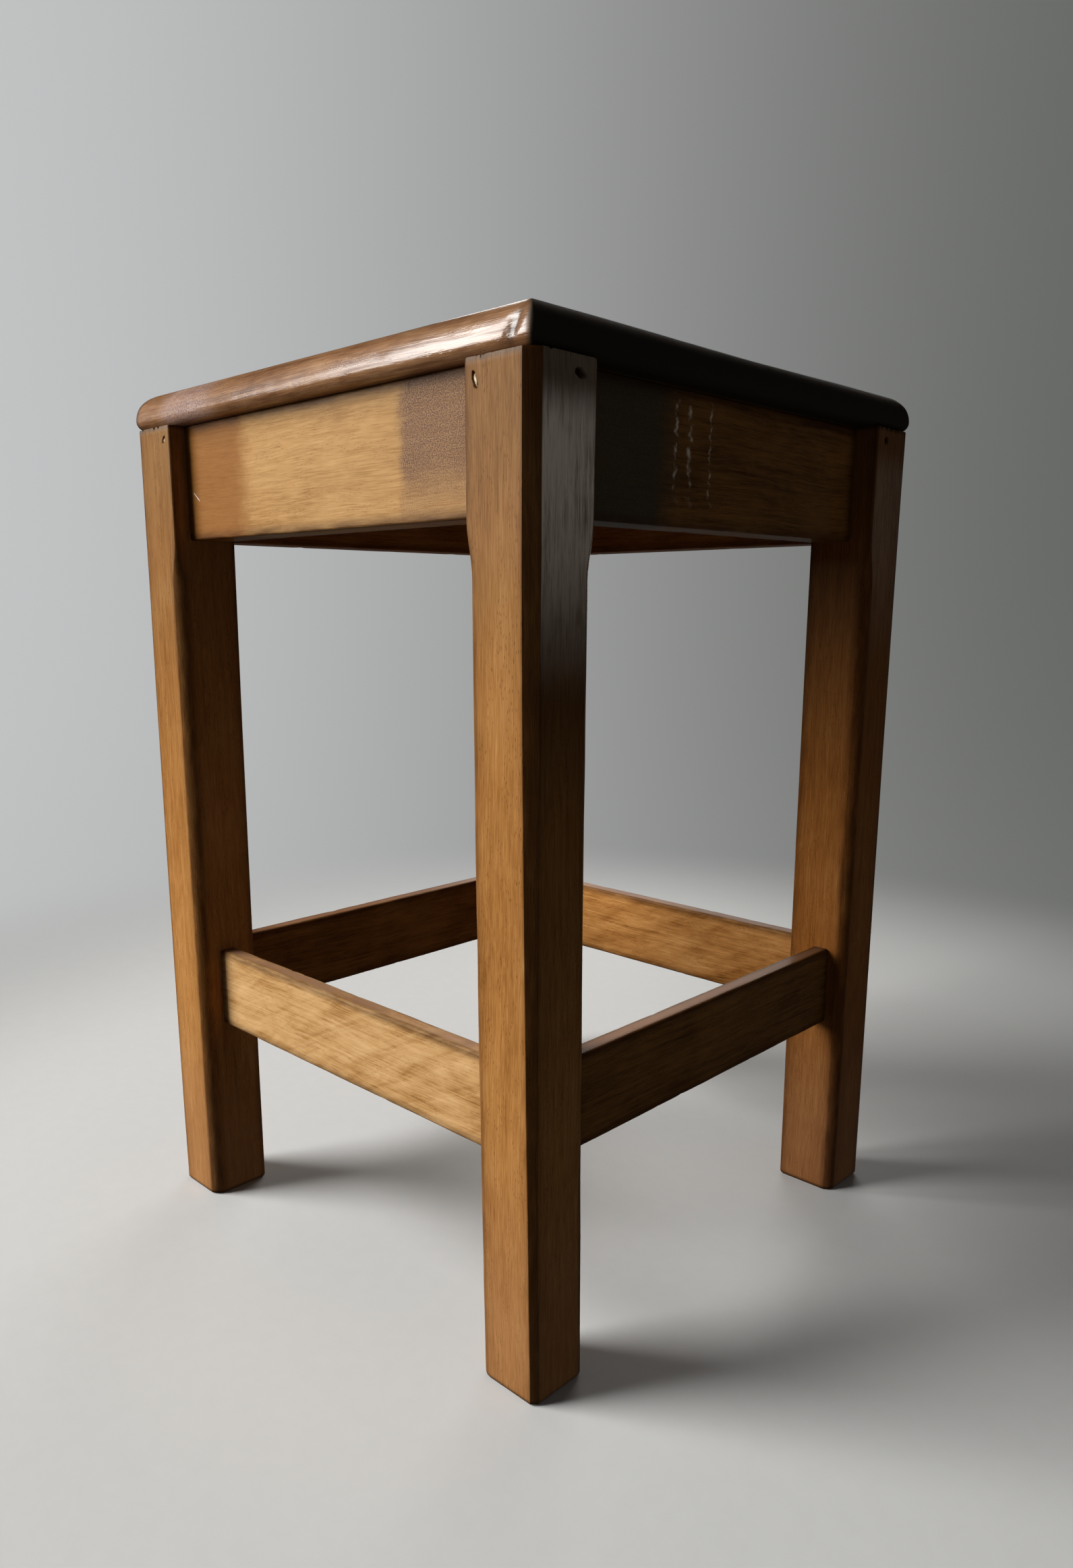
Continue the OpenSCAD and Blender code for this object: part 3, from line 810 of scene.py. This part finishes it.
def seat_wood(name):
    """Brown seat wood, worn pale in the hollow of the top and nearly black at the two sides."""
    wood = Wood(name, "x", 5.0, SEAT_TONES, fleck=0.5, figure=0.3)
    spread = wood.vector("MULTIPLY", wood.where, (1.0, 1.15, 0.0))
    far = wood.jitter(wood.vector("LENGTH", spread, output="Value"), wood.blotch, 0.09)
    worn = wood.step(far, *SEAT_WORN)
    paler = wood.mix(0.75, wood.colour, wood.mix(wood.tone, GOLD[1], GOLD[3]))
    above = wood.step(wood.z, LEG_H + 0.012, LEG_H + 0.016)
    wood.paint(wood.times(worn, above), paler)
    # thirsty end grain at the two sides took the stain nearly black
    wood.paint(wood.bare_or_sheen, SEAT_SIDE)
    below = wood.step(wood.z, LEG_H + 0.0008, LEG_H + 0.0002)
    widest = wood.math("MAXIMUM", wood.math("ABSOLUTE", wood.x), wood.math("ABSOLUTE", wood.y))
    below = wood.times(below, wood.step(widest, *SEAT_UNDER))
    wood.paint(below, wood.mix(wood.tone, PINE[0], PINE[2]))
    # a rubbed purplish patch at the left end of the front edge
    speck = wood.step(wood.noise(wood.where, (1500, 1500, 1500), detail=4.0), 0.30, 0.75)
    patch = wood.times(*(wood.step(axis, *limits)
                         for axis, limits in zip((wood.x, wood.x, wood.y), PATCH)))
    wood.paint(wood.times(patch, speck, 0.55), RUBBED_PALE)
    wood.age_edges(0.35)
    wood.shine = wood.math("MAXIMUM", wood.shine, wood.times(wood.bare_or_sheen, 0.7))
    # the varnish lies thickest at the front right corner
    thick = wood.times(wood.step(wood.x, 0.0, 0.12, 0.35, 1.0),
                       wood.step(wood.streaks, 0.35, 0.6, 0.4, 1.0))
    coat = wood.times(wood.step(wood.bare_or_sheen, 0.6, 0.0), thick)
    return wood.varnished(coat, 0.6, 0.10)


def plain(name, colour, roughness, metallic, grit, dirt):
    """Rusted steel or dry putty: one colour broken up by two sizes of noise."""
    made = Shader(name)
    where = made.add("TexCoord").outputs["Object"]
    coarse = made.noise(where, (400, 400, 400), detail=4.0, rough=0.6)
    fine = made.noise(where, (2600, 2600, 2600))
    tint = made.mix(made.step(coarse, 0.40, 0.62), colour, dirt)
    tint = made.mix(made.times(fine, 0.35), tint, dirt)
    relief = made.add("Bump", {"Strength": grit, "Distance": 0.15 * MM, "Height": fine})
    rough_map = made.math("MULTIPLY_ADD", coarse, 0.25, roughness)
    return made.close(made.add("BsdfPrincipled", {
        "Base Color": tint, "Roughness": rough_map, "Metallic": metallic,
        "Normal": relief.outputs[0]}))


def stage_material(name):
    """Pale painted floor, with painted shade towards one side, that turns into a self-lit grey
    backdrop whose glow fades from painted light on one side to painted shade on the other.
    """
    made = Shader(name)
    where = made.add("TexCoord").outputs["Object"]
    grain = made.noise(where, (90, 90, 90), detail=4.0, rough=0.6)
    tint = made.mix(grain, FLOOR_PAINT, tuple(0.94 * v for v in FLOOR_PAINT))
    bump = made.add("Bump", {"Strength": 0.08, "Distance": 1 * MM, "Height": grain})
    split = made.add("SeparateXYZ", {0: where}).outputs
    aside = made.math("ADD", split[0], split[1])
    # painted shade: the floor grows darker towards the +X+Y side
    tint = made.mix(made.step(aside, 0.1, 0.75), tint, tuple(0.55 * v for v in FLOOR_PAINT))
    floor = made.add("BsdfPrincipled", {"Base Color": tint, "Roughness": 0.75,
                                        "Normal": bump.outputs[0]})
    # the backdrop glows by itself, painted lighter on the -X-Y side and painted darker as shade on
    # the +X+Y side
    shade = made.mix(made.step(aside, -1.3, 1.3), BACKDROP_LIT_GLOW, BACKDROP_SHADED_GLOW)
    wall = made.add("Emission", {0: shade, 1: 1.0})
    return made.close(made.add("MixShader", {
        0: made.step(split[2], 0.0, 0.07), 1: floor.outputs[0], 2: wall.outputs[0]}))


# ---- build the stool ------------------------------------------------------------------

def place(piece, node, slot, material, flat_faces=True):
    """Gives a piece its material and its body, in place of its CAD node; slot is not used.

    flat_faces keeps the shading of large faces even beside their eased corners.
    """
    piece.data.materials.clear()
    piece.data.materials.append(material)
    if flat_faces:
        even = piece.modifiers.new("even_normals", "WEIGHTED_NORMAL")
        even.keep_sharp = True
        even.weight = 60
    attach(piece, "root")
    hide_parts(node)


def xy(x, y):
    return Vector((x * MM, y * MM))


# nail holes: half width, half height, slant, lift
ROUND_HOLE = (2.1 * MM, 1.7 * MM, 0.0, 0.0)
GOUGED_HOLE = (2.9 * MM, 1.7 * MM, 0.25, 0.0)
SLOT_HOLE = (1.05 * MM, 3.2 * MM, 0.32, 3.0 * MM)
SMALL_SLOT = (0.9 * MM, 1.9 * MM, 0.7, 4.5 * MM)
# side along X, side along Y, seed, tones, shift of the foot, bow, holes, side shade and sheen
LEGS = {
    "leg_front_right":
        (1, -1, 1.0, AMBER, xy(0, 3), xy(-0.7, -0.7), (SLOT_HOLE, GOUGED_HOLE), 1.0),
    "leg_front_left":
        (-1, -1, 2.0, AMBER, xy(1, 0), xy(-0.5, -0.4), (SMALL_SLOT, ROUND_HOLE), 0.2),
    "leg_back_right":
        (1, 1, 3.0, RUSSET, xy(-0.5, 0), xy(-0.3, -0.2), (ROUND_HOLE, ROUND_HOLE), 0.15),
    "leg_back_left":
        (-1, 1, 4.0, RUSSET, xy(0, -1), xy(0.3, 0.4), (ROUND_HOLE, ROUND_HOLE), 0.1),
}
for leg, (sx, sy, seed, tones, foot_shift, bow, holes, side_shade_and_sheen) in LEGS.items():
    piece = make_leg(leg + "_wood", sx, sy, seed, foot_shift, bow, holes, side_shade_and_sheen)
    place(piece, leg, "leg_wood", leg_wood(leg + "_finish", seed, tones))

# node, axis the board runs along, seed, slot, material
BOARDS = [
    ("apron_front", 0, 11.0, "apron_golden_wood", front_apron_wood("apron_front_finish")),
    ("apron_back", 0, 12.0, "apron_wood", board_wood("apron_back_finish", "x", 12.0, RUSSET)),
    ("apron_left", 1, 13.0, "apron_wood", board_wood("apron_left_finish", "y", 13.0, RUSSET)),
    ("apron_right", 1, 14.0, "apron_dark_wood", right_apron_wood("apron_right_finish")),
    ("stretcher_front", 0, 15.0, "stretcher_golden_wood",
     board_wood("stretcher_front_finish", "x", 15.0, PALE_GOLD, 0.4, 0.75)),
    ("stretcher_back", 0, 16.0, "stretcher_golden_wood",
     board_wood("stretcher_back_finish", "x", 16.0, AMBER, 0.5, 0.5)),
    ("stretcher_left", 1, 17.0, "stretcher_wood",
     board_wood("stretcher_left_finish", "y", 17.0, BROWN)),
    ("stretcher_right", 1, 18.0, "stretcher_wood",
     board_wood("stretcher_right_finish", "y", 18.0, BROWN)),
]
for node, along, seed, slot, material in BOARDS:
    tenon, arris = STRETCHER_TENON, STRETCHER_ARRIS
    if node.startswith("apron"):
        tenon, arris = APRON_TENON, APRON_ARRIS
    place(make_board(node + "_board", node, along, seed, tenon, arris), node, slot, material)

place(make_seat("seat_slab"), "seat", "seat_wood", seat_wood("seat_finish"), False)

putty = plain("putty_finish", (0.72, 0.60, 0.42), 0.6, 0.0, 0.6, (0.34, 0.22, 0.11))
fillers = make_filler("putty_right", 1, 0.9 * MM, 2.9 * MM, 0.32, 3.0 * MM)
small_filler = make_filler("putty_left", -1, 0.65 * MM, 1.5 * MM, 0.7, 4.5 * MM)
for piece in (fillers, small_filler):
    place(piece, "nail_fillers", "putty", putty, False)

steel = plain("screw_finish", (0.26, 0.23, 0.20), 0.35, 0.85, 0.4, (0.10, 0.045, 0.02))
place(make_screws("seat_screw_set"), "seat_screws", "screw_steel", steel, False)

rust = plain("nail_finish", (0.055, 0.030, 0.018), 0.55, 0.6, 0.6, (0.03, 0.012, 0.006))
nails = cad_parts["apron_nails"]
nails.data.materials.clear()
nails.data.materials.append(rust)

block_names = [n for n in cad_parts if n.startswith("corner_block")]
for number, name in enumerate(sorted(block_names)):
    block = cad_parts[name]
    block.data.materials.clear()
    block.data.materials.append(
        Wood(name + "_finish", "x", 20.0 + number, PINE, fleck=0.15).varnished(0.0, 0.5))

# ---- stage, light and camera ----------------------------------------------------------

STAGE_FLOOR_R = 0.42
STAGE_CURVE_R = 0.58
STAGE_TOP = 2.8
FLOOR_PAINT = (0.59, 0.59, 0.58)
BACKDROP_LIT_GLOW = (0.57, 0.575, 0.58)
BACKDROP_SHADED_GLOW = (0.115, 0.12, 0.112)
FLOOR_GLOW = (0.080, 0.077, 0.073, 1)        # light on the stool from the floor, below
DIM_ROOM = (0.022, 0.022, 0.023, 1)          # and from the room, above


def make_stage():
    """A round floor that curves up into a plain wall, alike from every side."""
    profile = [(r, 0.0) for r in (0.0001, 0.2, 0.35, STAGE_FLOOR_R)]
    for i in range(1, 13):
        angle = math.radians(90 * i / 12)
        profile.append((STAGE_FLOOR_R + STAGE_CURVE_R * math.sin(angle),
                        STAGE_CURVE_R * (1 - math.cos(angle))))
    profile.append((STAGE_FLOOR_R + STAGE_CURVE_R, STAGE_TOP))
    around = 96
    verts = []
    for radius, height in profile:
        for i in range(around):
            angle = 2 * math.pi * i / around
            verts.append((radius * math.cos(angle), radius * math.sin(angle), height))
    faces = bands(around, len(profile))
    mesh = bpy.data.meshes.new("stage")
    mesh.from_pydata(verts, [], faces)
    mesh.polygons.foreach_set("use_smooth", [True] * len(faces))
    stage = bpy.data.objects.new("stage", mesh)
    bpy.context.scene.collection.objects.link(stage)
    mesh.materials.append(stage_material("stage_paint"))
    # the room's shade on the stool comes from the lights alone, not from the pale floor
    stage.visible_diffuse = stage.visible_glossy = stage.visible_shadow = False


def area_light(name, azimuth, elevation, distance, width, height, power, colour):
    """A soft light aimed at the middle of the stool. Azimuth 0 is in front, on the -Y side."""
    a, e = math.radians(azimuth), math.radians(elevation)
    back = Vector((math.sin(a) * math.cos(e), -math.cos(a) * math.cos(e), math.sin(e)))
    data = bpy.data.lights.new(name, "AREA")
    data.shape, data.size, data.size_y = "RECTANGLE", width, height
    data.energy, data.color = power, colour
    made = bpy.data.objects.new(name, data)
    made.location = Vector((0, 0, LEG_H * 0.6)) + back * distance
    made.rotation_mode = "QUATERNION"
    made.rotation_quaternion = (-back).to_track_quat("-Z", "Y")
    made.visible_camera = False
    bpy.context.scene.collection.objects.link(made)


make_stage()
# name, azimuth, elevation, distance, width, height, power, colour
area_light("window", -42, 30, 4.5, 2.2, 4.6, 410.0, (1.0, 0.995, 0.98))
area_light("room_right", 100, 30, 2.2, 1.4, 1.4, 1.5, (1.0, 0.97, 0.93))
area_light("room_back", 212, 20, 2.6, 1.6, 1.6, 22.0, (1.0, 0.98, 0.95))
world = bpy.data.worlds.new("room")
world.use_nodes = True
sky = world.node_tree.nodes
up = sky.new("ShaderNodeSeparateXYZ")
ramp = sky.new("ShaderNodeValToRGB")
stops = ramp.color_ramp.elements
stops[0].position, stops[0].color = 0.0, FLOOR_GLOW
stops[1].position, stops[1].color = 0.2, DIM_ROOM
link = world.node_tree.links.new
link(sky.new("ShaderNodeTexCoord").outputs["Generated"], up.inputs[0])
link(up.outputs[2], ramp.inputs[0])
link(ramp.outputs[0], sky["Background"].inputs[0])
bpy.context.scene.world = world
bpy.context.scene.view_settings.view_transform = "Standard"

# The camera stands off the front right corner, a little below the aprons, and looks down.
CAMERA_PLACE = Vector((0.4476, -0.4609, 0.3538))
CAMERA_YAW = 44.44
CAMERA_PITCH = -13.25
CAMERA_LENS = 25.362
CAMERA_SHIFT = (0.0117, 0.0522)
camera_data = bpy.data.cameras.new("camera")
camera_data.lens = CAMERA_LENS
camera_data.sensor_width = 36.0
camera_data.shift_x, camera_data.shift_y = CAMERA_SHIFT
camera_data.clip_start = 0.01
camera = bpy.data.objects.new("camera", camera_data)
yaw, pitch = math.radians(CAMERA_YAW), math.radians(CAMERA_PITCH)
camera.location = CAMERA_PLACE
camera.rotation_euler = (math.pi / 2 + pitch, 0, yaw)
bpy.context.scene.collection.objects.link(camera)
bpy.context.scene.camera = camera
